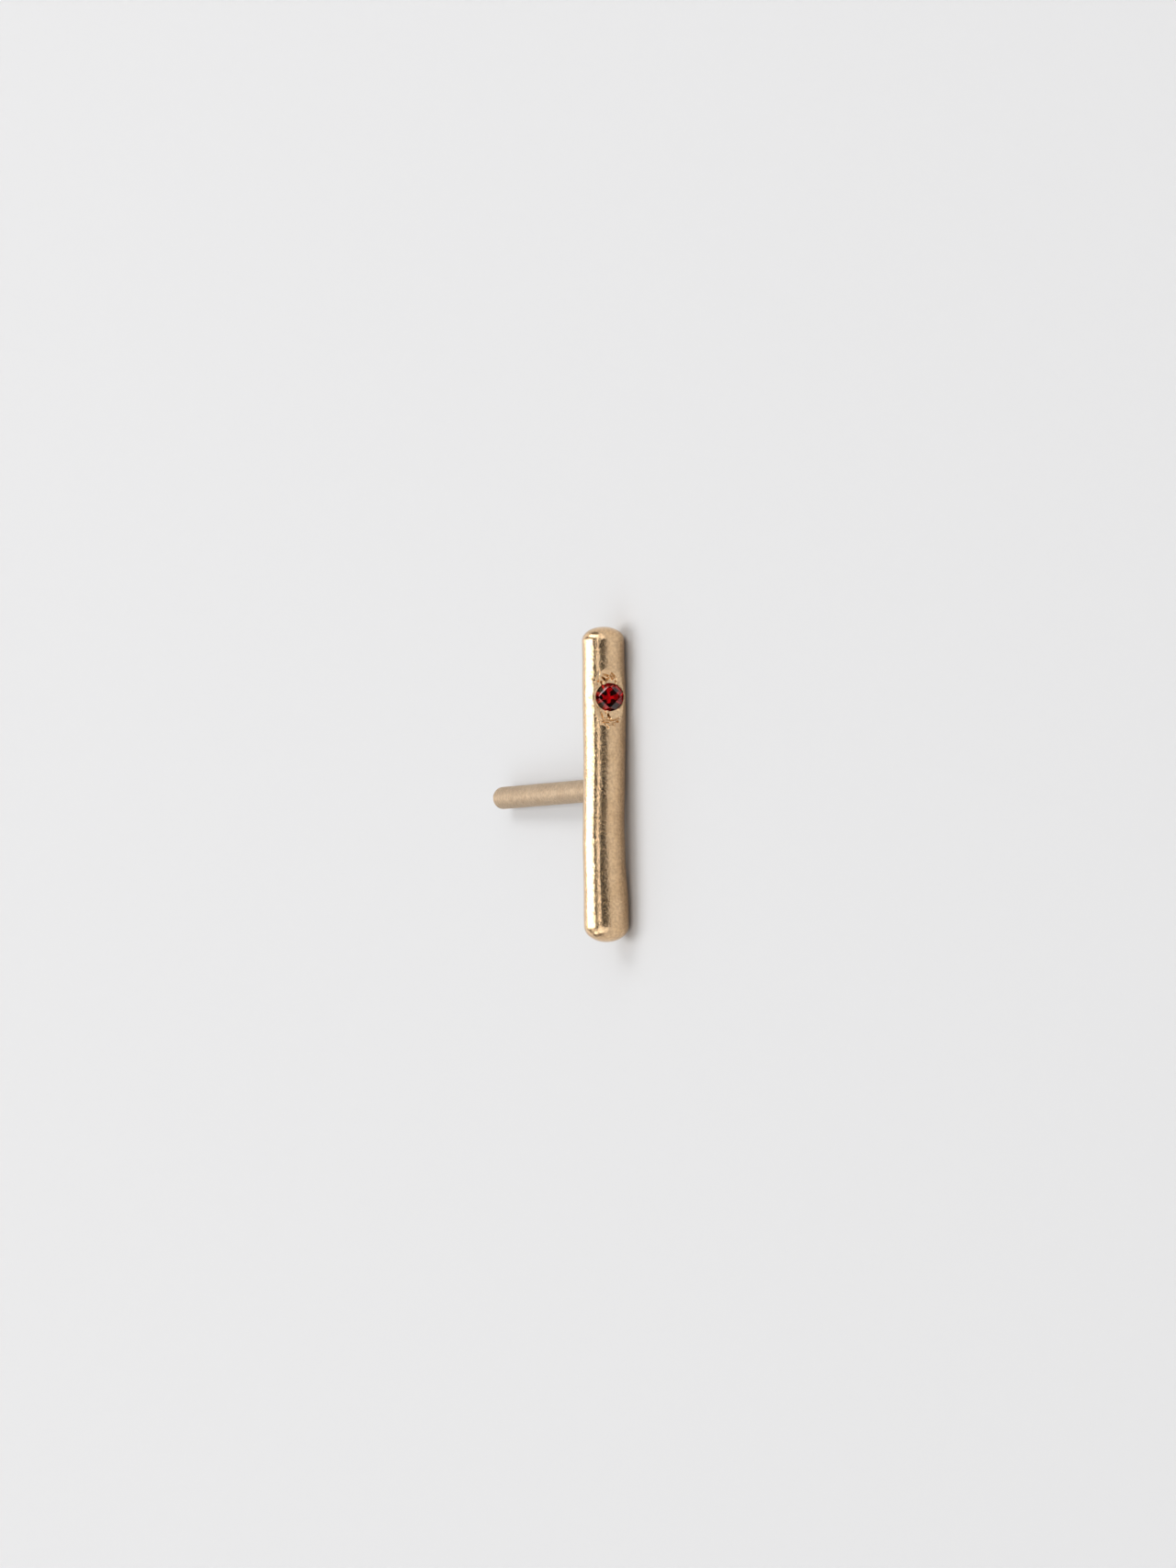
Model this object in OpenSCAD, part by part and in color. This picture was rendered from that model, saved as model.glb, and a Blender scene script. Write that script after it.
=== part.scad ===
// Bar stud earring: a slim hand-finished gold bar with one small round stone set flush
// near its upper end and a straight ear post soldered to its back.
//
// It lies as it comes to rest by itself: the bar along X with the stone end at +X, the
// stone facing -Y, the post towards +Y with its tip on the surface. Z = 0 is the surface,
// and the origin is under the middle of the earring.

/* [Bar] */
// Length of the bar
bar_l = 12.5; // [10:0.25:16]
// Width of the bar across its front
bar_w = 1.72; // [1.5:0.02:2.2]
// Thickness of the bar from front to back
bar_d = 1.7; // [1.5:0.05:2.2]
// Length of the rounded end beyond the stone
dome_stone_end = 0.55; // [0.3:0.05:0.9]
// Length of the rounded lower end
dome_lower_end = 0.65; // [0.3:0.05:0.9]

/* [Post] */
// Diameter of the ear post
post_d = 0.9; // [0.7:0.05:1.1]
// Length of the post behind the bar
post_l = 9.5; // [8:0.25:12]
// Distance of the post below the middle of the bar
post_drop = 0.2; // [-2:0.1:4]
// Radius that rounds the rim of the post's tip
post_edge = 0.2; // [0.05:0.05:0.3]

/* [Stone] */
// Diameter of the stone
stone_d = 1.1; // [0.9:0.02:1.2]
// Distance of the stone's middle from the upper end of the bar
stone_at = 2.82; // [2:0.02:5]
// Turn of the stone round the bar from the side opposite the post, in degrees
stone_turn = 0; // [-15:1:15]
// Lean of the stone towards the raised side about its own middle, in degrees
stone_tilt = 20; // [0:1:22]
// Depth of the stone's girdle below the front of the bar
stone_sink = 0.34; // [0.3:0.01:0.36]
// Thickness of the girdle
girdle_h = 0.03; // [0.02:0.005:0.06]
// Slope of the crown above the girdle, in degrees
crown_slope = 36; // [30:1:40]
// Slope of the pavilion below the girdle, in degrees
pavilion_slope = 41; // [38:1:43]
// Width of the table as a share of the stone's diameter
table_share = 0.62; // [0.5:0.01:0.66]

/* [Setting] */
// Free space between the stone and the metal round it
stone_gap = 0.012; // [0.008:0.002:0.03]
// Radius of the scoop that lays the stone open to the light
scoop_r = 2.2; // [2:0.1:4]
// Lean of the scoop towards the raised side about the stone's middle, in degrees
scoop_tilt = 7; // [0:1:10]
// Height of the scoop's floor above the middle of the girdle
lip_h = 0.01; // [0.01:0.005:0.05]
// Width of the thin collar of metal round the stone
collar_w = 0.05; // [0.03:0.01:0.08]
// Height of the collar above the girdle
collar_h = 0.03; // [0.01:0.005:0.05]
// Diameter of a raised grain that holds the stone
grain_d = 0.18; // [0.12:0.01:0.22]
// Distance of a grain's middle outside the stone
grain_out = 0.055; // [0.03:0.005:0.08]
// Diameter of the light hole under the stone
light_hole_d = 0.4; // [0.2:0.05:0.6]
// Depth of the light hole below the stone's lowest point
light_hole_depth = 0.08; // [0.04:0.02:0.2]

/* [Hidden] */

GOLD = [0.80, 0.66, 0.47];
DEEP_RED = [0.50, 0.02, 0.05];

// Sections of the bar, from the stone end to the lower end. Widths and gaps are shares of
// bar_w, depths are shares of bar_d, and places are shares of bar_l.
AT = 0;     // place along the bar
WIDE = 1;   // width
DEEP = 2;   // depth
GAP = 3;    // free height under the bar where it lies
SECTIONS = [
    [0.00, 0.99, 0.99, 0.008],
    [0.10, 0.98, 0.99, 0.014],
    [0.18, 1.00, 1.00, 0.000],
    [0.30, 1.00, 1.00, 0.002],
    [0.42, 0.97, 0.99, 0.030],
    [0.53, 0.97, 0.98, 0.053],
    [0.61, 0.96, 0.97, 0.078],
    [0.68, 0.98, 0.98, 0.074],
    [0.77, 0.99, 0.99, 0.060],
    [0.84, 1.03, 1.01, 0.016],
    [0.90, 1.05, 1.03, 0.000],
    [1.00, 1.04, 1.02, 0.006]
];

// Grains round the stone: the turn from the bar's upper end, anticlockwise as seen from the
// front, and the size as a share of grain_d.
TURN = 0;
SIZE = 1;
GRAINS = [
    [21, 1.0],
    [-28, 0.8],
    [170, 1.0]
];

SIDES = 48;        // round the bar
DOME_RINGS = 7;    // on each rounded end
BODY_RINGS = 30;   // between the rounded ends
ROUND = 64;        // round turned shapes

bar_r = bar_w / 2;
post_r = post_d / 2;
stone_r = stone_d / 2;
last_row = len(SECTIONS) - 1;

// Smooth curve through one column of the sections.
function row_slope(col, i) =
    let (a = max(i - 1, 0), b = min(i + 1, last_row))
    (SECTIONS[b][col] - SECTIONS[a][col]) / (SECTIONS[b][AT] - SECTIONS[a][AT]);
function row_before(share, i = 0) =
    i >= last_row - 1 || SECTIONS[i + 1][AT] >= share ? i : row_before(share, i + 1);
function section(col, share) =
    let (
        i = row_before(share),
        span = SECTIONS[i + 1][AT] - SECTIONS[i][AT],
        t = (share - SECTIONS[i][AT]) / span,
        rise = SECTIONS[i + 1][col] - SECTIONS[i][col],
        m0 = row_slope(col, i) * span,
        m1 = row_slope(col, i + 1) * span
    )
    SECTIONS[i][col] + t * m0 + t * t * (3 * rise - 2 * m0 - m1)
        + t * t * t * (m0 + m1 - 2 * rise);

// Form of the bar at a place along X, and the height of its middle line.
function share_at(x) = 0.5 - x / bar_l;
function half_width(x) = bar_r * section(WIDE, share_at(x));
function half_depth(x) = bar_d / 2 * section(DEEP, share_at(x));
function middle_height(x) = bar_w * max(section(GAP, share_at(x)), 0) + half_width(x);

// The post slopes down from the bar until the rim of its tip meets the surface.
post_x = -post_drop;
post_reach = half_depth(post_x) + post_l;
post_height = middle_height(post_x);
rim_reach = post_reach - post_edge;
rim_r = post_r - post_edge;
lie = asin((post_height - post_edge) / norm([rim_reach, rim_r])) - atan2(rim_r, rim_reach);
side_way = [0, sin(lie), cos(lie)];
front_way = [0, -cos(lie), sin(lie)];

// Rings of the bar: place along X and size as a share of the full section.
dome_step = 90 / DOME_RINGS;
body_top = bar_l / 2 - dome_stone_end;
body_bottom = -bar_l / 2 + dome_lower_end;
RINGS = concat(
    [for (i = [1 : DOME_RINGS])
        [body_top + dome_stone_end * cos(i * dome_step), sin(i * dome_step)]],
    [for (i = [1 : BODY_RINGS])
        [body_top + (body_bottom - body_top) * i / BODY_RINGS, 1]],
    [for (i = [1 : DOME_RINGS - 1])
        [body_bottom - dome_lower_end * sin(i * dome_step), cos(i * dome_step)]]
);
bar_points = [
    for (ring = RINGS, k = [0 : SIDES - 1])
        let (x = ring[0], a = k * 360 / SIDES)
        [x, 0, middle_height(x)]
            + side_way * half_width(x) * ring[1] * cos(a)
            + front_way * half_depth(x) * ring[1] * sin(a)
];

// The origin is midway between the front of the bar and the tip of the post.
front_y = min([for (p = bar_points) p[1]]);
tip_y = rim_reach * cos(lie) + rim_r * sin(lie) + post_edge;
shift_y = -(front_y + tip_y) / 2;

// Heights in the stone's own frame, measured from the bar's middle line to the outside.
stone_x = bar_l / 2 - stone_at;
girdle_top = half_depth(stone_x) - stone_sink;
girdle_bottom = girdle_top - girdle_h;
table_r = stone_r * table_share;
table_z = girdle_top + (stone_r - table_r) * tan(crown_slope);
culet_z = girdle_bottom - stone_r * tan(pavilion_slope);
scoop_bottom = girdle_top + lip_h;
above_bar = bar_d;

// Points of a stone: 8 table corners, 8 star tips, 16 on each edge of the girdle, 8 tips of
// the lower facets and the culet. Even steps point at the star tips, odd steps between them.
STEP = 22.5;
star_r = stone_r * (1 + table_share) / 2;
lower_tip_r = stone_r * 0.25;
main_share = cos(STEP);
star_z = table_z - tan(crown_slope) * (star_r * main_share - table_r);
lower_tip_z = girdle_bottom - tan(pavilion_slope) * (stone_r - lower_tip_r * main_share);
function at_step(r, step, z) = [r * cos(step * STEP), r * sin(step * STEP), z];
stone_points = concat(
    [for (k = [0 : 7]) at_step(table_r, 2 * k + 1, table_z)],
    [for (k = [0 : 7]) at_step(star_r, 2 * k, star_z)],
    [for (k = [0 : 15]) at_step(stone_r, k, girdle_top)],
    [for (k = [0 : 15]) at_step(stone_r, k, girdle_bottom)],
    [for (k = [0 : 7]) at_step(lower_tip_r, 2 * k, lower_tip_z)],
    [[0, 0, culet_z]]
);
function corner(k) = (k + 8) % 8;
function star(k) = 8 + (k + 8) % 8;
function upper(k) = 16 + (k + 16) % 16;
function lower(k) = 32 + (k + 16) % 16;
function tip(k) = 48 + (k + 8) % 8;
CULET = 56;
stone_faces = concat(
    [[for (k = [7 : -1 : 0]) corner(k)]],
    [for (k = [0 : 7]) [corner(k - 1), corner(k), star(k)]],
    [for (k = [0 : 7]) [corner(k), star(k + 1), upper(2 * k + 1), star(k)]],
    [for (k = [0 : 7]) [star(k), upper(2 * k + 1), upper(2 * k)]],
    [for (k = [0 : 7]) [star(k), upper(2 * k), upper(2 * k - 1)]],
    [for (k = [0 : 15]) [upper(k), upper(k + 1), lower(k + 1), lower(k)]],
    [for (k = [0 : 7]) [tip(k), lower(2 * k), lower(2 * k + 1)]],
    [for (k = [0 : 7]) [tip(k), lower(2 * k - 1), lower(2 * k)]],
    [for (k = [0 : 7]) [CULET, tip(k), lower(2 * k + 1), tip(k + 1)]]
);

// The bar: one swept body, rounded at both ends.
module bar_body() {
    last = len(RINGS) - 1;
    tips = [
        [bar_l / 2, 0, middle_height(bar_l / 2)],
        [-bar_l / 2, 0, middle_height(-bar_l / 2)]
    ];
    top_tip = len(bar_points);
    faces = concat(
        [for (k = [0 : SIDES - 1]) [top_tip, (k + 1) % SIDES, k]],
        [for (i = [0 : last - 1], k = [0 : SIDES - 1])
            let (n = (k + 1) % SIDES, a = i * SIDES, b = a + SIDES)
            [a + k, a + n, b + n, b + k]],
        [for (k = [0 : SIDES - 1])
            [top_tip + 1, last * SIDES + k, last * SIDES + (k + 1) % SIDES]]
    );
    polyhedron(points = concat(bar_points, tips), faces = faces, convexity = 4);
}

// The post: round wire from inside the bar to the rounded tip.
module post() {
    root = half_depth(post_x) / 2;
    translate([post_x, 0, post_height])
        rotate([-(90 + lie), 0, 0]) {
            translate([0, 0, root])
                cylinder(r = post_r, h = rim_reach - root, $fn = ROUND);
            translate([0, 0, root])
                cylinder(r = rim_r, h = post_reach - root, $fn = ROUND);
            translate([0, 0, rim_reach])
                rotate_extrude($fn = ROUND)
                    translate([rim_r, 0])
                        intersection() {
                            circle(r = post_edge, $fn = ROUND);
                            translate([0, -post_edge])
                                square([post_edge, 2 * post_edge]);
                        }
        }
}

// Places what is made in the stone's own frame, or leans another way about its middle.
module at_stone(tilt = stone_tilt) {
    translate([stone_x, 0, middle_height(stone_x)])
        rotate([90 - lie - stone_turn, 0, 0])
            translate([0, 0, girdle_top])
                rotate([-tilt, 0, 0])
                    translate([0, 0, -girdle_top])
                        children();
}

// The scoop: a shallow round hollow that lays the stone open to the light.
module scoop() {
    at_stone(scoop_tilt)
        translate([0, 0, scoop_bottom + scoop_r])
            sphere(r = scoop_r, $fn = 2 * ROUND);
}

// The collar: a thin ring of metal left round the stone where the bar falls away from it.
module collar() {
    at_stone()
        translate([0, 0, culet_z])
            cylinder(r = stone_r + stone_gap + collar_w, h = girdle_top + collar_h - culet_z, $fn = ROUND);
}

// What is bored into the bar under the stone: the bearing and the light hole.
module seat_cut() {
    seat_r = stone_r + stone_gap;
    seat_z = girdle_bottom - stone_gap;
    hole_r = light_hole_d / 2;
    hole_z = seat_z - (seat_r - hole_r) * tan(pavilion_slope);
    floor_z = culet_z - light_hole_depth;
    at_stone()
        rotate_extrude($fn = ROUND)
            polygon([
                [0, floor_z],
                [hole_r, floor_z],
                [hole_r, hole_z],
                [seat_r, seat_z],
                [seat_r, above_bar],
                [0, above_bar]
            ]);
}

// The grains: small beads of metal raised beside the stone and pressed over its edge.
module grains() {
    at_stone()
        for (grain = GRAINS) {
            r = grain_d / 2 * grain[SIZE];
            out = stone_r + grain_out;
            up = (r + stone_gap - grain_out * sin(crown_slope)) / cos(crown_slope);
            rotate([0, 0, grain[TURN]])
                translate([out, 0, girdle_top + up])
                    sphere(r = r, $fn = ROUND);
        }
}

// The metal: bar, post and grains are one soldered and worked piece.
module bar_with_post() {
    color(GOLD)
        translate([0, shift_y, 0]) {
            difference() {
                union() {
                    difference() {
                        bar_body();
                        scoop();
                    }
                    collar();
                }
                seat_cut();
            }
            post();
            grains();
        }
}

// The stone: a round brilliant with its table, stars, kites, girdle and pavilion.
module stone() {
    color(DEEP_RED)
        translate([0, shift_y, 0])
            at_stone()
                polyhedron(points = stone_points, faces = stone_faces, convexity = 2);
}

bar_with_post();
stone();
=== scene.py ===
import math

import bmesh
import bpy
from mathutils import Matrix, Vector, noise


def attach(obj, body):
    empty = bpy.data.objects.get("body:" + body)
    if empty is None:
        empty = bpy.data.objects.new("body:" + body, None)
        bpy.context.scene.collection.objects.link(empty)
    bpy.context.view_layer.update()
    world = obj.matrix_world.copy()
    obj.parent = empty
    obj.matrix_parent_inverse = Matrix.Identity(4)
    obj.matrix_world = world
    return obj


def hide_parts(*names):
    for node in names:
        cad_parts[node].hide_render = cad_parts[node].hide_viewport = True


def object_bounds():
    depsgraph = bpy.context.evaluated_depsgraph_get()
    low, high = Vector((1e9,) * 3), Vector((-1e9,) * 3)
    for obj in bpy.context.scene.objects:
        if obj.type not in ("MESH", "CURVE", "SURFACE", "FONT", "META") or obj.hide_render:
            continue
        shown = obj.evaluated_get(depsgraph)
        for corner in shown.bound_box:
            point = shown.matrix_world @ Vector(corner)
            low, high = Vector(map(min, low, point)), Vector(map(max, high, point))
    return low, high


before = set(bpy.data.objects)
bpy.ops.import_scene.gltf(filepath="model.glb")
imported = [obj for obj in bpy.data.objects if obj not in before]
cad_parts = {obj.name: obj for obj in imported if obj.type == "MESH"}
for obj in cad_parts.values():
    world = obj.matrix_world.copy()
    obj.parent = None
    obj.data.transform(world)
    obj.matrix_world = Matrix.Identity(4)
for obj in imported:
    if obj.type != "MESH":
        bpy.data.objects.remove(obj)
cad_low, cad_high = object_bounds()


# The bar. One slim rod of yellow gold, cast and then filed and polished by hand, so that it
# is nearly round but never quite straight or even. Its ends are rounded. It is worked in
# millimetres here and brought to metres when the piece is finished.
MM = 0.001
BAR_LENGTH = (cad_high.x - cad_low.x) / MM
BAR_WIDTH = 1.72
BAR_DEPTH = 1.70
STONE_END_ROUNDING = 0.55
LOWER_END_ROUNDING = 0.65

# Sections from the stone end to the lower end: place along the bar, width, depth and free
# height under the bar, as shares of its length, width, depth and width.
AT, WIDE, DEEP, GAP = range(4)
SECTIONS = (
    (0.00, 0.99, 0.99, 0.008),
    (0.10, 0.98, 0.99, 0.014),
    (0.18, 1.00, 1.00, 0.000),
    (0.30, 1.00, 1.00, 0.002),
    (0.42, 0.97, 0.99, 0.030),
    (0.53, 0.97, 0.98, 0.053),
    (0.61, 0.96, 0.97, 0.078),
    (0.68, 0.98, 0.98, 0.074),
    (0.77, 0.99, 0.99, 0.060),
    (0.84, 1.03, 1.01, 0.016),
    (0.90, 1.05, 1.03, 0.000),
    (1.00, 1.04, 1.02, 0.006),
)


def row_slope(column, row):
    before, after = SECTIONS[max(row - 1, 0)], SECTIONS[min(row + 1, len(SECTIONS) - 1)]
    return (after[column] - before[column]) / (after[AT] - before[AT])


def section(column, x):
    """A smooth curve through one column of the sections, at a place along the bar."""
    share = 0.5 - x / BAR_LENGTH
    row = 0
    while row < len(SECTIONS) - 2 and SECTIONS[row + 1][AT] < share:
        row += 1
    start, end = SECTIONS[row], SECTIONS[row + 1]
    span = end[AT] - start[AT]
    t = (share - start[AT]) / span
    rise = end[column] - start[column]
    slope_in, slope_out = row_slope(column, row) * span, row_slope(column, row + 1) * span
    bend = 3 * rise - 2 * slope_in - slope_out
    return start[column] + t * slope_in + t * t * bend + t ** 3 * (slope_in + slope_out - 2 * rise)


def half_width(x):
    return BAR_WIDTH / 2 * section(WIDE, x)


def half_depth(x):
    return BAR_DEPTH / 2 * section(DEEP, x)


def middle_height(x):
    return BAR_WIDTH * max(section(GAP, x), 0) + half_width(x)


def end_rounding(x):
    """How much of the full section is left inside the rounded ends."""
    into_top = x - (BAR_LENGTH / 2 - STONE_END_ROUNDING)
    into_bottom = -x - (BAR_LENGTH / 2 - LOWER_END_ROUNDING)
    share = max(into_top / STONE_END_ROUNDING, into_bottom / LOWER_END_ROUNDING, 0)
    return math.sqrt(max(1 - share * share, 0))


# The earring lies on its side, so the post slopes down until its tip meets the surface.
POST_RADIUS = 0.45
POST_LENGTH = 9.5
POST_RIM = 0.2
POST_X = -0.2
post_reach = half_depth(POST_X) + POST_LENGTH
rim_reach, rim_radius = post_reach - POST_RIM, POST_RADIUS - POST_RIM
lie = math.asin((middle_height(POST_X) - POST_RIM) / math.hypot(rim_reach, rim_radius))
lie -= math.atan2(rim_radius, rim_reach)
along_bar = Vector((1, 0, 0))
side_way = Vector((0, math.sin(lie), math.cos(lie)))
front_way = Vector((0, -math.cos(lie), math.sin(lie)))
tip_y = rim_reach * math.cos(lie) + rim_radius * math.sin(lie) + POST_RIM
middle_y = cad_high.y / MM - tip_y


def bar_middle(x):
    return Vector((x, middle_y, middle_height(x)))


# The stone's own directions: up the bar, to the raised side and out of the front.
STONE_RADIUS = 0.55
STONE_FROM_END = 2.82
STONE_TILT = math.radians(20)
STONE_SINK = 0.34
GIRDLE = 0.03
stone_x = BAR_LENGTH / 2 - STONE_FROM_END
stone_out = front_way * math.cos(STONE_TILT) + side_way * math.sin(STONE_TILT)
stone_side = stone_out.cross(along_bar)
girdle_top = half_depth(stone_x) - STONE_SINK
girdle_bottom = girdle_top - GIRDLE
stone_root = bar_middle(stone_x) + (front_way - stone_out) * girdle_top
stone_facing = Matrix((along_bar, stone_side, stone_out)).transposed().to_4x4()
stone_place = Matrix.Translation(stone_root) @ stone_facing

# The scoop that lays the stone open to the light. It leans less than the stone does. Its edge
# is softly polished, and grows softer towards the lowered side until SOFT_SIDE from the middle.
SCOOP_RADIUS = 2.1
SCOOP_TILT = math.radians(10)
SCOOP_FLOOR = 0.01
SCOOP_SOFTNESS = 0.035
SOFT_SIDE = 0.4
SOFT_SIDE_EXTRA = 3
SETTING_REACH = 2
scoop_out = front_way * math.cos(SCOOP_TILT) + side_way * math.sin(SCOOP_TILT)
scoop_centre = front_way * girdle_top + scoop_out * (SCOOP_FLOOR + SCOOP_RADIUS)

# Strokes of the graver round the stone, on the stone's own plane: where each starts and
# ends to the lowered side and up the bar, its width and its depth.
STROKES = (
    (-0.30, 0.76, -0.18, 0.69, 0.060, 0.110),
    (-0.25, 0.88, -0.03, 0.83, 0.060, 0.075),
    (0.04, 0.76, -0.08, 0.68, 0.055, 0.080),
    (0.12, 0.93, 0.27, 0.80, 0.055, 0.075),
    (0.07, 0.84, 0.22, 0.70, 0.050, 0.070),
    (0.33, 0.74, 0.34, 0.62, 0.045, 0.060),
    (-0.37, 0.60, -0.33, 0.52, 0.055, 0.110),
    (-0.47, 0.64, -0.60, 0.40, 0.050, 0.045),
    (-0.40, 0.98, -0.50, 0.62, 0.050, 0.050),
    (-0.50, -0.42, -0.34, -0.72, 0.050, 0.045),
    (-0.34, -0.72, -0.26, -1.02, 0.050, 0.050),
    (-0.26, -1.02, -0.08, -1.22, 0.050, 0.045),
    (0.04, -0.84, -0.04, -0.71, 0.060, 0.120),
    (0.12, -1.08, 0.20, -1.15, 0.050, 0.040),
    (0.30, -0.96, 0.34, -0.99, 0.050, 0.060),
)
# Curved strokes below the stone: radius round the stone, where each starts and ends in
# degrees from straight down towards the lowered side, its width and its depth.
CURVED_STROKES = (
    (0.65, -125, -52, 0.040, 0.035),
    (0.84, -22, -6, 0.050, 0.034),
    (0.92, -14, 26, 0.050, 0.042),
    (1.00, -24, -2, 0.050, 0.036),
    (1.03, 6, 22, 0.046, 0.034),
    (1.10, -20, 10, 0.046, 0.026),
)
# A straight stroke starts at a share of its depth and grows to the whole of it.
STROKE_START = 0.55
STROKE_GROWTH = 0.45
# The form across a stroke: how steep its sides are, how many widths it reaches, where its burr
# stands in widths, and how high the burr is as a share of the depth.
GROOVE_STEEPNESS = 4
GROOVE_REACH = 2
BURR_PLACE = 1.1
BURR_HEIGHT = 0.18


def groove(distance, width, depth):
    """Depth of a round-bottomed cut at a distance from its middle, with a low burr beside it."""
    share = distance / width
    cut = math.exp(-share * share * GROOVE_STEEPNESS)
    burr = BURR_HEIGHT * math.exp(-((share - BURR_PLACE) * GROOVE_STEEPNESS) ** 2)
    return depth * (cut - burr)


def on_plane(point):
    """A point seen on the stone's plane: how far to the lowered side, and how far up the bar."""
    low_side = (bar_middle(stone_x) + front_way * girdle_top - point).dot(stone_side)
    return low_side, point.x - stone_x


def graver_depth(low_side, up):
    """How deep the graver went at a point of the stone's plane."""
    depth = 0
    for x0, y0, x1, y1, width, deep in STROKES:
        run = Vector((x1 - x0, y1 - y0))
        share = min(max(((low_side - x0) * run.x + (up - y0) * run.y) / run.length_squared, 0), 1)
        off = math.hypot(low_side - x0 - run.x * share, up - y0 - run.y * share)
        if off < GROOVE_REACH * width:
            depth += groove(off, width, deep * (STROKE_START + STROKE_GROWTH * share))
    radius, turn = math.hypot(low_side, up), math.degrees(math.atan2(low_side, -up))
    for ring, start, end, width, deep in CURVED_STROKES:
        past = max(start - turn, turn - end, 0) * math.radians(ring)
        off = math.hypot(radius - ring, past)
        if off < GROOVE_REACH * width:
            depth += groove(off, width, deep)
    return depth


# The metal just round the stone is dented by the tools that set it.
DENT_DEPTH = 0.010
DENTS_PER_MM = 4.5
DENTS_FROM_STONE = 0.80
DENTS_SPREAD = 0.35


def dents(point, low_side, up):
    off = (math.hypot(low_side, up) - DENTS_FROM_STONE) / DENTS_SPREAD
    return DENT_DEPTH * math.exp(-off * off) * noise.noise(point * DENTS_PER_MM)


def set_in(point):
    """Moves a point of the bar's skin inwards where the scoop and the graver took metal away."""
    low_side, up = on_plane(point)
    inner = bar_middle(point.x)
    ray = point - inner
    if ray.dot(front_way) <= 0 or abs(up) > SETTING_REACH:
        return point
    radius = ray.length
    ray.normalize()
    reach = ray.dot(scoop_centre)
    room = reach ** 2 - scoop_centre.length_squared + SCOOP_RADIUS ** 2 - up ** 2
    scooped = radius
    if room > 0:
        floor = reach - math.sqrt(room)
        lowered = min(max(low_side / SOFT_SIDE, 0), 1)
        soft = SCOOP_SOFTNESS * (1 + SOFT_SIDE_EXTRA * lowered)
        blend = max(soft - abs(radius - floor), 0) / soft
        scooped = min(radius, floor) - blend * blend * soft / 4
    return inner + ray * (scooped - graver_depth(low_side, up) + dents(point, low_side, up))


# A fillet of solder runs round the root of the post, and the file left soft waves.
SOLDER_WIDTH = 0.20
SOLDER_HEIGHT = 0.16
WAVES = ((0.75, 0.0070), (2.2, 0.0024), (6.0, 0.0008))

# Low ridges between two strokes of the file: degrees round the bar from the raised side, where
# each starts and ends along the bar, its width in degrees and its height.
RIDGES = (
    (54, -5.7, -2.4, 3.2, 0.0035),
    (62, -5.5, 0.8, 3.0, 0.0014),
    (121, 4.6, 5.5, 3.0, 0.0050),
)
RIDGE_WANDER = 1.5
RIDGE_WANDERS_PER_MM = 1.3
RIDGE_REACH = 3
RIDGE_FADE = 0.4


def solder_height(point):
    local = point - bar_middle(POST_X)
    if local.dot(front_way) > 0:
        return 0
    off = math.hypot(local.x, local.dot(side_way)) - POST_RADIUS
    return SOLDER_HEIGHT * max(1 - max(off, 0) / SOLDER_WIDTH, 0) ** 2


def waves(point, rows):
    """Soft uneven waves: how many to the millimetre, and how deep, for each row."""
    return sum(deep * noise.noise(point * often) for often, deep in rows)


def file_ridges(x, turn):
    height = 0
    for middle, start, end, width, tall in RIDGES:
        wander = RIDGE_WANDER * noise.noise(Vector((x * RIDGE_WANDERS_PER_MM, middle, 0)))
        off = (math.degrees(turn) - middle + wander) / width
        if abs(off) < RIDGE_REACH:
            fade = min(max(x - start, 0), max(end - x, 0), RIDGE_FADE) / RIDGE_FADE
            height += tall * fade * math.exp(-off * off)
    return height


def bar_skin(x, turn):
    """A point of the finished bar: place along it, and turn round it from the raised side."""
    outward = side_way * math.cos(turn) + front_way * math.sin(turn)
    ring = side_way * (half_width(x) * math.cos(turn)) + front_way * (half_depth(x) * math.sin(turn))
    point = bar_middle(x) + ring * end_rounding(x)
    point += outward * ((waves(point, WAVES) + file_ridges(x, turn)) * end_rounding(x))
    return set_in(point - front_way * solder_height(point))


def even_steps(start, end, step):
    """Places from start up to end, without the end itself, about a step apart."""
    count = max(round(abs(end - start) / step), 1)
    return [start + (end - start) * i / count for i in range(count)]


def shaped(bm, name):
    """Puts a finished shape into the scene as an object of its own."""
    mesh = bpy.data.meshes.new(name)
    bm.to_mesh(mesh)
    bm.free()
    shape = bpy.data.objects.new(name, mesh)
    bpy.context.scene.collection.objects.link(shape)
    return shape


# Points closer than this, in millimetres, are one point.
SAME_POINT = 0.0001


def turned(outline, steps, centre=(0, 0, 0), axis=(0, 0, 1), same_point=SAME_POINT):
    """Turns an outline once round an axis."""
    bm = bmesh.new()
    verts = [bm.verts.new(point) for point in outline]
    edges = [bm.edges.new(pair) for pair in zip(verts, verts[1:])]
    bmesh.ops.spin(
        bm, geom=verts + edges, cent=centre, axis=axis,
        angle=math.tau, steps=steps, use_merge=True,
    )
    bmesh.ops.remove_doubles(bm, verts=bm.verts, dist=same_point)
    return bm


def work_metal(metal, tool, operation):
    """Joins another shape to the metal, or cuts it out, and puts the tool away."""
    change = metal.modifiers.new(operation, "BOOLEAN")
    change.operation = operation
    change.solver = "MANIFOLD"
    change.object = tool
    seen = metal.evaluated_get(bpy.context.evaluated_depsgraph_get())
    worked = bpy.data.meshes.new_from_object(seen)
    metal.modifiers.clear()
    metal.data = worked
    bpy.data.objects.remove(tool)


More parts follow.
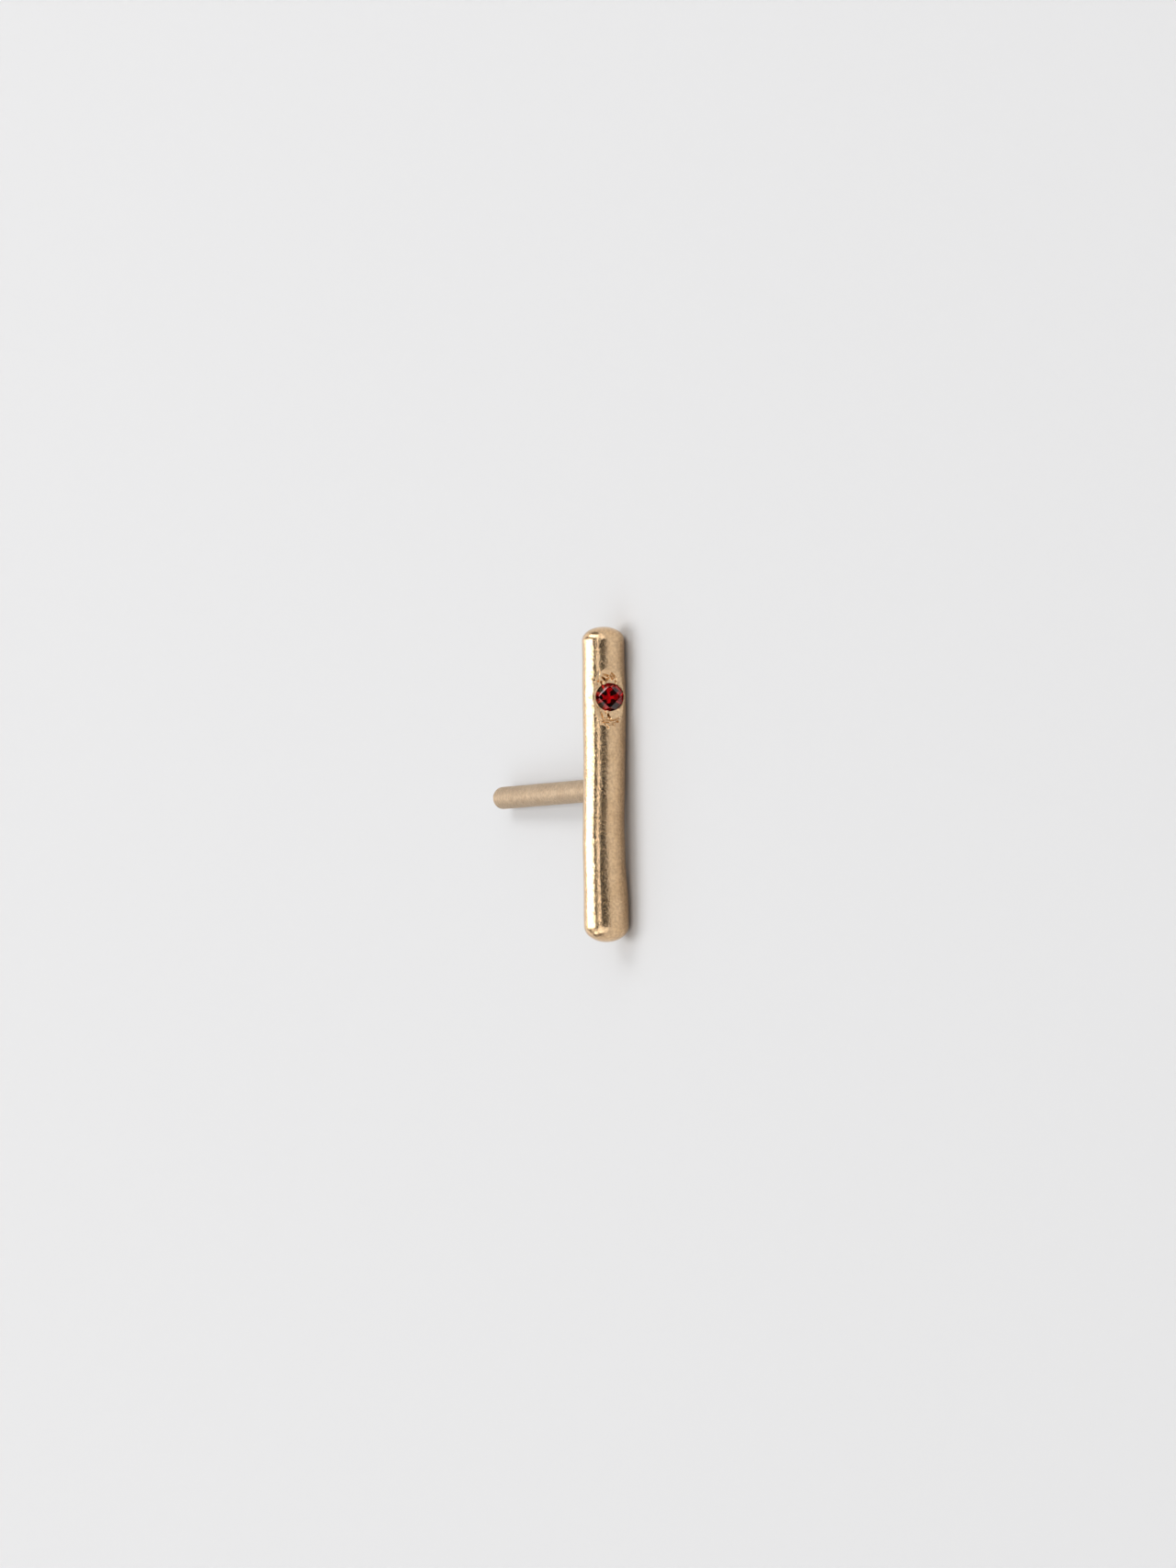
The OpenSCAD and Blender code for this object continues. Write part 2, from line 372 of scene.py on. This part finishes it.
def clean_metal(metal):
    """Merges points that the joins left on top of each other and drops the crumbs between cuts."""
    bm = bmesh.new()
    bm.from_mesh(metal.data)
    bmesh.ops.remove_doubles(bm, verts=bm.verts, dist=SAME_POINT)
    bmesh.ops.dissolve_degenerate(bm, edges=bm.edges, dist=SAME_POINT)
    left = set(bm.verts)
    parts = []
    while left:
        part = [left.pop()]
        for vert in part:
            near = [edge.other_vert(vert) for edge in vert.link_edges]
            fresh = [other for other in near if other in left]
            left.difference_update(fresh)
            part.extend(fresh)
        parts.append(part)
    parts.sort(key=len)
    for crumb in parts[:-1]:
        bmesh.ops.delete(bm, geom=crumb, context="VERTS")
    bmesh.ops.recalc_face_normals(bm, faces=bm.faces)
    bm.to_mesh(metal.data)
    bm.free()


def finish_piece(piece, sharp_degrees, materials):
    """Brings a piece from millimetres to metres and gives it its shading and finishes."""
    mesh = piece.data
    mesh.name = piece.name
    mesh.transform(Matrix.Scale(MM, 4))
    mesh.shade_smooth()
    mesh.set_sharp_from_angle(angle=math.radians(sharp_degrees))
    mesh.materials.clear()
    for material in materials:
        mesh.materials.append(material)


END_RINGS = 22
end_turns = [math.radians(90) * i / END_RINGS for i in range(END_RINGS)]
top, bottom = BAR_LENGTH / 2, -BAR_LENGTH / 2

# The skin is finest at the setting and fine round the post. Steps along the bar are in
# millimetres, and steps round it in radians.
SETTING_UP, SETTING_DOWN = 1.20, 1.30
POST_ZONE = 0.8
STONE_END_STEP = 0.08
SETTING_STEP = 0.014
PLAIN_STEP = 0.09
POST_ZONE_STEP = 0.045
FRONT_SPREAD = math.radians(65)
FRONT_STEP = 0.0155
BACK_STEP = 0.045
ring_places = [top - STONE_END_ROUNDING * (1 - math.cos(a)) for a in end_turns[1:]]
ring_places += even_steps(top - STONE_END_ROUNDING, stone_x + SETTING_UP, STONE_END_STEP)
ring_places += even_steps(stone_x + SETTING_UP, stone_x - SETTING_DOWN, SETTING_STEP)
ring_places += even_steps(stone_x - SETTING_DOWN, POST_X + POST_ZONE, PLAIN_STEP)
ring_places += even_steps(POST_X + POST_ZONE, POST_X - POST_ZONE, POST_ZONE_STEP)
ring_places += even_steps(POST_X - POST_ZONE, bottom + LOWER_END_ROUNDING, PLAIN_STEP)
ring_places += [bottom + LOWER_END_ROUNDING * (1 - math.cos(a)) for a in reversed(end_turns[1:])]
front_turn = math.radians(90) - SCOOP_TILT
around = even_steps(front_turn - FRONT_SPREAD, front_turn + FRONT_SPREAD, FRONT_STEP)
around += even_steps(front_turn + FRONT_SPREAD, front_turn - FRONT_SPREAD + math.tau, BACK_STEP)

bm = bmesh.new()
ring = bmesh.ops.create_circle(bm, segments=len(around), radius=1)["verts"]
edges = bm.edges[:]
rings = [ring]
while len(rings) < len(ring_places):
    grown = bmesh.ops.extrude_edge_only(bm, edges=edges)["geom"]
    edges = [part for part in grown if isinstance(part, bmesh.types.BMEdge)]
    rings.append([part for part in grown if isinstance(part, bmesh.types.BMVert)])
for place, ring in zip(ring_places, rings):
    for vert, turn in zip(ring, around):
        vert.co = bar_skin(place, turn)
for ring, end in ((rings[0], top), (rings[-1], bottom)):
    cap = bmesh.ops.contextual_create(bm, geom=ring)["faces"]
    pole = bmesh.ops.poke(bm, faces=cap)["verts"]
    pole[0].co = bar_middle(end)
bmesh.ops.recalc_face_normals(bm, faces=bm.faces)
bar = shaped(bm, "gold_bar")


# The ear post. A drawn round wire of the same gold, soldered square to the back of the bar.
# Its free end is flat with a rounded edge, and the wire keeps a satin surface.
POST_SUNK = 0.4
POST_SIDES = 72
POST_STEP = 0.08
POST_WAVES = ((1.4, 0.0050), (4.0, 0.0016))
EDGE_STEPS = 8


def post_point(out, radius):
    return bar_middle(POST_X) - front_way * out + side_way * radius


outline = [post_point(POST_SUNK, 0)]
outline += [post_point(out, POST_RADIUS) for out in even_steps(POST_SUNK, rim_reach, POST_STEP)]
for step in range(EDGE_STEPS + 1):
    turn = math.radians(90) * step / EDGE_STEPS
    out = rim_reach + POST_RIM * math.sin(turn)
    outline.append(post_point(out, rim_radius + POST_RIM * math.cos(turn)))
outline.append(post_point(post_reach, rim_radius / 2))
outline.append(post_point(post_reach, 0))
bm = turned(outline, POST_SIDES, centre=bar_middle(POST_X), axis=front_way)
bmesh.ops.recalc_face_normals(bm, faces=bm.faces)
for vert in bm.verts:
    local = vert.co - bar_middle(POST_X)
    outward = local - front_way * local.dot(front_way)
    vert.co += outward / POST_RADIUS * waves(vert.co, POST_WAVES)
work_metal(bar, shaped(bm, "post_wire"), "UNION")


# The setting. A seat is bored and burred into the scoop for the stone, with a small hole
# under it for light, and three grains of gold are raised with a graver and pushed over its edge.
CROWN = math.radians(36)
PAVILION = math.radians(41)
SEAT_GAP = 0.012
SEAT_SIDES = 96
LIGHT_HOLE_RADIUS = 0.20
LIGHT_HOLE_DEPTH = 0.08
culet_z = girdle_bottom - STONE_RADIUS * math.tan(PAVILION)
seat_radius = STONE_RADIUS + SEAT_GAP
seat_z = girdle_bottom - SEAT_GAP
hole_z = seat_z - (seat_radius - LIGHT_HOLE_RADIUS) * math.tan(PAVILION)
ABOVE = 1.2


def turned_at_stone(outline, name):
    """Turns an outline of radius and height round the stone's own middle line."""
    bm = turned([(radius, 0, height) for radius, height in outline], SEAT_SIDES)
    bmesh.ops.transform(bm, matrix=stone_place, verts=bm.verts)
    bmesh.ops.recalc_face_normals(bm, faces=bm.faces)
    return shaped(bm, name)


# A thin collar of metal stands round the stone on the side where the bar falls away.
COLLAR_WIDTH = 0.05
COLLAR_HEIGHT = 0.03
COLLAR_SOFT = 0.015
collar_radius = seat_radius + COLLAR_WIDTH
collar_z = girdle_top + COLLAR_HEIGHT
outline = [(0, culet_z), (collar_radius, culet_z), (collar_radius, collar_z - COLLAR_SOFT)]
outline += [(collar_radius - COLLAR_SOFT, collar_z), (0, collar_z)]
work_metal(bar, turned_at_stone(outline, "collar"), "UNION")

outline = [(0, culet_z - LIGHT_HOLE_DEPTH), (LIGHT_HOLE_RADIUS, culet_z - LIGHT_HOLE_DEPTH)]
outline += [(LIGHT_HOLE_RADIUS, hole_z), (seat_radius, seat_z)]
outline += [(seat_radius, ABOVE), (0, ABOVE)]
work_metal(bar, turned_at_stone(outline, "seat_burr"), "DIFFERENCE")

# Where each grain is, in degrees from straight up towards the raised side, and its size.
GRAINS = ((21, 1.15), (-28, 0.8), (170, 1.05))
GRAIN_RADIUS = 0.09
GRAIN_OUT = 0.055
GRAIN_GAP = 0.024
GRAIN_SIDES = 40
GRAIN_RINGS = 24
for turn, size in GRAINS:
    turn = math.radians(turn)
    radius = GRAIN_RADIUS * size
    out = STONE_RADIUS + GRAIN_OUT
    height = girdle_top + (radius + GRAIN_GAP - GRAIN_OUT * math.sin(CROWN)) / math.cos(CROWN)
    bm = bmesh.new()
    bmesh.ops.create_uvsphere(bm, u_segments=GRAIN_SIDES, v_segments=GRAIN_RINGS, radius=radius)
    place = Matrix.Translation((out * math.cos(turn), out * math.sin(turn), height))
    bmesh.ops.transform(bm, matrix=stone_place @ place, verts=bm.verts)
    work_metal(bar, shaped(bm, "grain"), "UNION")


def fresh_material(name):
    material = bpy.data.materials.new(name)
    material.use_nodes = True
    nodes = material.node_tree.nodes
    return material, nodes, material.node_tree.links, nodes["Principled BSDF"]


def millimetre_space(nodes, links):
    """The piece's own space, in millimetres, for the patterns on it."""
    place = nodes.new("ShaderNodeTexCoord")
    millimetres = nodes.new("ShaderNodeMapping")
    millimetres.inputs["Scale"].default_value = (1000, 1000, 1000)
    links.new(place.outputs["Object"], millimetres.inputs["Vector"])
    return millimetres.outputs["Vector"]


def patches(nodes, links, space, often, detail):
    """Soft random patches: about how many to the millimetre, and how finely broken."""
    cloud = nodes.new("ShaderNodeTexNoise")
    cloud.inputs["Scale"].default_value = often
    cloud.inputs["Detail"].default_value = detail
    links.new(space, cloud.inputs["Vector"])
    return cloud


def tinted(nodes, links, value, low_stop, high_stop):
    """A colour between two stops, each a place and a colour."""
    tint = nodes.new("ShaderNodeValToRGB")
    tint.color_ramp.elements[0].position = low_stop[0]
    tint.color_ramp.elements[0].color = (*low_stop[1], 1)
    tint.color_ramp.elements[1].position = high_stop[0]
    tint.color_ramp.elements[1].color = (*high_stop[1], 1)
    links.new(value, tint.inputs["Fac"])
    return tint.outputs["Color"]


def ranged(nodes, links, value, from_range, to_range):
    """Carries a value from one range over to another."""
    change = nodes.new("ShaderNodeMapRange")
    change.inputs["From Min"].default_value = from_range[0]
    change.inputs["From Max"].default_value = from_range[1]
    change.inputs["To Min"].default_value = to_range[0]
    change.inputs["To Max"].default_value = to_range[1]
    links.new(value, change.inputs["Value"])
    return change.outputs["Result"]


def gold(name, light_colour, deep_colour, rough_range, grain_height):
    """Gold with a faint drift of colour, fine dull specks, hazy patches and a fine grain."""
    material, nodes, links, shader = fresh_material(name)
    shader.inputs["Metallic"].default_value = 1
    space = millimetre_space(nodes, links)

    drift = patches(nodes, links, space, 1.7, 4).outputs["Fac"]
    tint = tinted(nodes, links, drift, (0.35, deep_colour), (0.65, light_colour))
    speck = patches(nodes, links, space, 10, 3).outputs["Fac"]
    shaded = nodes.new("ShaderNodeVectorMath")
    shaded.operation = "SCALE"
    links.new(tint, shaded.inputs[0])
    links.new(ranged(nodes, links, speck, (0.35, 0.65), (0.82, 1.10)), shaded.inputs["Scale"])
    links.new(shaded.outputs["Vector"], shader.inputs["Base Color"])

    haze = patches(nodes, links, space, 5, 5).outputs["Fac"]
    links.new(ranged(nodes, links, haze, (0.3, 0.7), rough_range), shader.inputs["Roughness"])

    grain = patches(nodes, links, space, 9, 4)
    grain.inputs["Roughness"].default_value = 0.6
    bump = nodes.new("ShaderNodeBump")
    bump.inputs["Distance"].default_value = grain_height
    links.new(grain.outputs["Fac"], bump.inputs["Height"])
    links.new(bump.outputs["Normal"], shader.inputs["Normal"])
    return material


# The finishes: lighter and deeper colour, roughness from and to, and height of the grain in
# metres. The third, a very dark gold, is painted shade in the deepest cuts and in the seat under the
# stone.
FINISHES = (
    ("polished_gold", (0.79, 0.555, 0.335), (0.72, 0.49, 0.28), (0.06, 0.15), 0.0000140),
    ("satin_gold", (0.53, 0.40, 0.27), (0.48, 0.355, 0.235), (0.50, 0.60), 0.0000120),
    ("painted_shade_gold", (0.16, 0.095, 0.05), (0.08, 0.045, 0.025), (0.35, 0.5), 0.0000120),
)
SATIN, PAINTED_SHADE = 1, 2
METAL_SHARP_DEGREES = 32
SATIN_FROM = 0.12
# Graver cuts deeper than this, in millimetres, get painted shade.
PAINTED_SHADE_DEPTH = 0.07
SEAT_MARGIN = 0.002
clean_metal(bar)
finish_piece(bar, METAL_SHARP_DEGREES, [gold(*finish) for finish in FINISHES])
for face in bar.data.polygons:
    spot = face.center / MM
    out = (spot - bar_middle(spot.x)).dot(front_way)
    low_side, up = on_plane(spot)
    if -out > half_depth(POST_X) + SATIN_FROM:
        face.material_index = SATIN
    # Painted shade: faces in the deepest graver cuts take the very dark gold.
    elif out > 0 and abs(up) < SETTING_UP and graver_depth(low_side, up) > PAINTED_SHADE_DEPTH:
        face.material_index = PAINTED_SHADE
    # Painted shade: the seat walls under the stone take the very dark gold too.
    elif math.hypot(low_side, up) < seat_radius + SEAT_MARGIN:
        if 0 < (spot - stone_root).dot(stone_out) < girdle_bottom:
            face.material_index = PAINTED_SHADE
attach(bar, "root")
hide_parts("bar_with_post")


# The stone. A small round garnet of deep red, in the simple cut that so small a stone gets:
# eight flat facets above its thin round girdle and eight below. Four of the upper ones are
# wide, so the table is nearly a square on its corner. Only the three grains hold the stone.
TABLE_SHARE = 0.62
NARROW_SHARE = 0.57
WIDE_SHARE = 0.74
RIM_SHARE = 0.966
GIRDLE_SIDES = 128
STEPS_ROUND = 16
ACROSS = 0.1
GRIND_SLACK = 0.00002
STONE_SAME_POINT = 0.0002
STONE_SHARP_DEGREES = 1
table_z = girdle_top + STONE_RADIUS * (1 - TABLE_SHARE) * math.tan(CROWN)
half_step = math.radians(22.5)


def on_stone(radius, step, height):
    """A point of the stone: radius, turn in steps of 22.5 degrees, and height."""
    turn = step * half_step
    return Vector((radius * math.cos(turn), radius * math.sin(turn), height))


def grind(bm, first, second, third):
    """Grinds one flat facet through three points, and closes it."""
    flat = (second - first).cross(third - first).normalized()
    if flat.dot(first - Vector((0, 0, girdle_bottom))) < 0:
        flat.negate()
    cut = bmesh.ops.bisect_plane(
        bm, geom=bm.verts[:] + bm.edges[:] + bm.faces[:], dist=GRIND_SLACK,
        plane_co=first, plane_no=flat, clear_outer=True,
    )["geom_cut"]
    rim = [part for part in cut if isinstance(part, bmesh.types.BMEdge) and part.is_boundary]
    bmesh.ops.contextual_create(bm, geom=rim)


bm = bmesh.new()
bmesh.ops.create_cone(
    bm, cap_ends=True, segments=GIRDLE_SIDES, radius1=STONE_RADIUS, radius2=STONE_RADIUS,
    depth=table_z - culet_z,
)
bmesh.ops.translate(bm, verts=bm.verts, vec=(0, 0, (table_z + culet_z) / 2))
for step in range(0, STEPS_ROUND, 2):
    table_share = NARROW_SHARE if step % 4 else WIDE_SHARE
    rim = on_stone(STONE_RADIUS * RIM_SHARE, step, girdle_top)
    across = on_stone(ACROSS, step + 4, 0)
    grind(bm, rim, rim + across, on_stone(STONE_RADIUS * table_share, step, table_z))
    rim = on_stone(STONE_RADIUS * RIM_SHARE, step, girdle_bottom)
    low_tip = Vector((0, 0, girdle_bottom - STONE_RADIUS * RIM_SHARE * math.tan(PAVILION)))
    grind(bm, rim, rim + across, low_tip)
bmesh.ops.remove_doubles(bm, verts=bm.verts, dist=STONE_SAME_POINT)
bmesh.ops.transform(bm, matrix=stone_place, verts=bm.verts)
bmesh.ops.recalc_face_normals(bm, faces=bm.faces)
stone = shaped(bm, "red_stone")

DEEP_RED = (0.32, 0.0008, 0.0020)
LIGHT_RED = (0.40, 0.0010, 0.0030)
red, nodes, links, shader = fresh_material("deep_red_stone")
shader.inputs["Roughness"].default_value = 0.01
shader.inputs["IOR"].default_value = 1.77
shader.inputs["Transmission Weight"].default_value = 1
zones = patches(nodes, links, millimetre_space(nodes, links), 2.5, 2).outputs["Fac"]
tint = tinted(nodes, links, zones, (0.3, DEEP_RED), (0.7, LIGHT_RED))
links.new(tint, shader.inputs["Base Color"])
finish_piece(stone, STONE_SHARP_DEGREES, (red,))
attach(stone, "root")
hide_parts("stone")


# The floor. A sheet of plain pale card, lifted a little all round its far edge, so that it
# also closes the view where the camera looks level.
FLOOR_FLAT = 0.36
FLOOR_EDGE = 0.50
FLOOR_LIFT = 0.10
FLOOR_STEPS = 12
FLOOR_SIDES = 96
FLOOR_SAME_POINT = 0.000001
outline = [(0, 0, 0), (FLOOR_FLAT / 2, 0, 0), (FLOOR_FLAT, 0, 0)]
for step in range(1, FLOOR_STEPS + 1):
    share = step / FLOOR_STEPS
    radius = FLOOR_FLAT + (FLOOR_EDGE - FLOOR_FLAT) * share
    outline.append((radius, 0, FLOOR_LIFT * share * share))
bm = turned(outline, FLOOR_SIDES, same_point=FLOOR_SAME_POINT)
bmesh.ops.recalc_face_normals(bm, faces=bm.faces)
floor = shaped(bm, "floor")
floor.data.shade_smooth()
pale_card, nodes, links, shader = fresh_material("pale_card")
shader.inputs["Base Color"].default_value = (0.61, 0.61, 0.615, 1)
shader.inputs["Roughness"].default_value = 0.9
shader.inputs["Specular IOR Level"].default_value = 0.1
floor.data.materials.append(pale_card)


# The studio. A dim tent with a wide softbox over the earring and a little behind it, pale
# panels behind, in front and past both ends, and two smaller lamps. Two dark cards stand
# between them on the camera's side, and show as dark lines along the polished bar.
TENT_RADIUS = 0.60
CARD_NEARNESS = 0.95
CARD_SIDES = 64
POWER_FOR_RADIANCE = 4

# Each softbox and card: degrees over the top from the front, degrees along the bar towards the
# stone's end, its size in degrees both ways, and for a softbox how bright it is.
SOFTBOXES = (
    ("main_softbox", 112.5, -3, 51, 24, 3.5),
    ("front_panel", 58.5, 0, 15, 24, 1.10),
    ("foot_side_panel", 36, -39, 50, 54, 0.70),
    ("stone_side_panel", 36, 44, 50, 64, 0.78),
    ("back_panel", 161, 0, 38, 90, 0.70),
    ("foot_panel", 88, -40, 56, 50, 0.60),
    ("end_lamp", 97, 41, 44, 22, 2.8),
    ("far_lamp", 116, -54, 10, 7, 2.8),
)
CARDS = (
    ("camera_card", 34.5, 0, 36, 22),
    ("gap_card", 76.5, 0, 15, 60),
)


def studio_place(over, along, distance):
    """A place and a facing in the tent: degrees over the top from the front, and along the bar."""
    over, along = math.radians(over), math.radians(along)
    outward = Vector((
        math.sin(along),
        -math.cos(over) * math.cos(along),
        math.sin(over) * math.cos(along),
    ))
    across = along_bar.cross(outward).normalized()
    facing = Matrix((across.cross(outward) * -1, across, outward)).transposed()
    return Matrix.Translation(outward * distance) @ facing.to_4x4()


def wide(degrees):
    return 2 * TENT_RADIUS * math.tan(math.radians(degrees / 2))


for name, over, along, over_size, along_size, radiance in SOFTBOXES:
    lamp = bpy.data.lights.new(name, "AREA")
    lamp.shape = "RECTANGLE"
    lamp.size = wide(along_size)
    lamp.size_y = wide(over_size)
    lamp.energy = radiance * POWER_FOR_RADIANCE * lamp.size * lamp.size_y
    light = bpy.data.objects.new(name, lamp)
    light.matrix_world = studio_place(over, along, TENT_RADIUS)
    light.visible_camera = False
    bpy.context.scene.collection.objects.link(light)

black_card, nodes, links, shader = fresh_material("black_card")
shader.inputs["Base Color"].default_value = (0.015, 0.014, 0.012, 1)
shader.inputs["Roughness"].default_value = 0.9
for name, over, along, over_size, along_size in CARDS:
    bm = bmesh.new()
    bmesh.ops.create_circle(bm, cap_ends=True, segments=CARD_SIDES, radius=1)
    half = Matrix.Diagonal((wide(along_size) / 2, wide(over_size) / 2, 1, 1))
    place = studio_place(over, along, TENT_RADIUS * CARD_NEARNESS)
    bmesh.ops.transform(bm, matrix=place @ half, verts=bm.verts)
    card = shaped(bm, name)
    card.data.materials.append(black_card)
    card.visible_camera = False

world = bpy.data.worlds.new("pale_tent")
world.use_nodes = True
world.node_tree.nodes["Background"].inputs["Color"].default_value = (0.20, 0.197, 0.194, 1)
bpy.context.scene.world = world
bpy.context.scene.view_settings.view_transform = "Standard"


# The camera, as it stood for the photograph: above the floor, looking down across the bar,
# with a long lens and the stone's end of the bar at the top of the frame.
CAMERA_ABOVE = math.radians(26.4654)
CAMERA_ASIDE = math.radians(1.8468)
CAMERA_ROLL = math.radians(-0.8433)
CAMERA_DISTANCE = 0.300
LENS_LENGTH = 174.06
SENSOR_WIDTH = 36
NEAREST_SEEN = 0.01
FARTHEST_SEEN = 5
AIM = Vector((0.0201, -4.4947, 1.5147)) * MM
to_camera = Vector((
    -math.sin(CAMERA_ASIDE),
    -math.cos(CAMERA_ASIDE) * math.cos(CAMERA_ABOVE),
    math.cos(CAMERA_ASIDE) * math.sin(CAMERA_ABOVE),
))
upward = (along_bar - to_camera * to_camera.x).normalized()
rightward = upward.cross(to_camera)
turned_right = rightward * math.cos(CAMERA_ROLL) + upward * math.sin(CAMERA_ROLL)
turned_up = upward * math.cos(CAMERA_ROLL) - rightward * math.sin(CAMERA_ROLL)
lens = bpy.data.cameras.new("camera")
lens.lens = LENS_LENGTH
lens.sensor_width = SENSOR_WIDTH
lens.clip_start = NEAREST_SEEN
lens.clip_end = FARTHEST_SEEN
camera = bpy.data.objects.new("camera", lens)
camera_facing = Matrix((turned_right, turned_up, to_camera)).transposed().to_4x4()
camera.matrix_world = Matrix.Translation(AIM + to_camera * CAMERA_DISTANCE) @ camera_facing
bpy.context.scene.collection.objects.link(camera)
bpy.context.scene.camera = camera
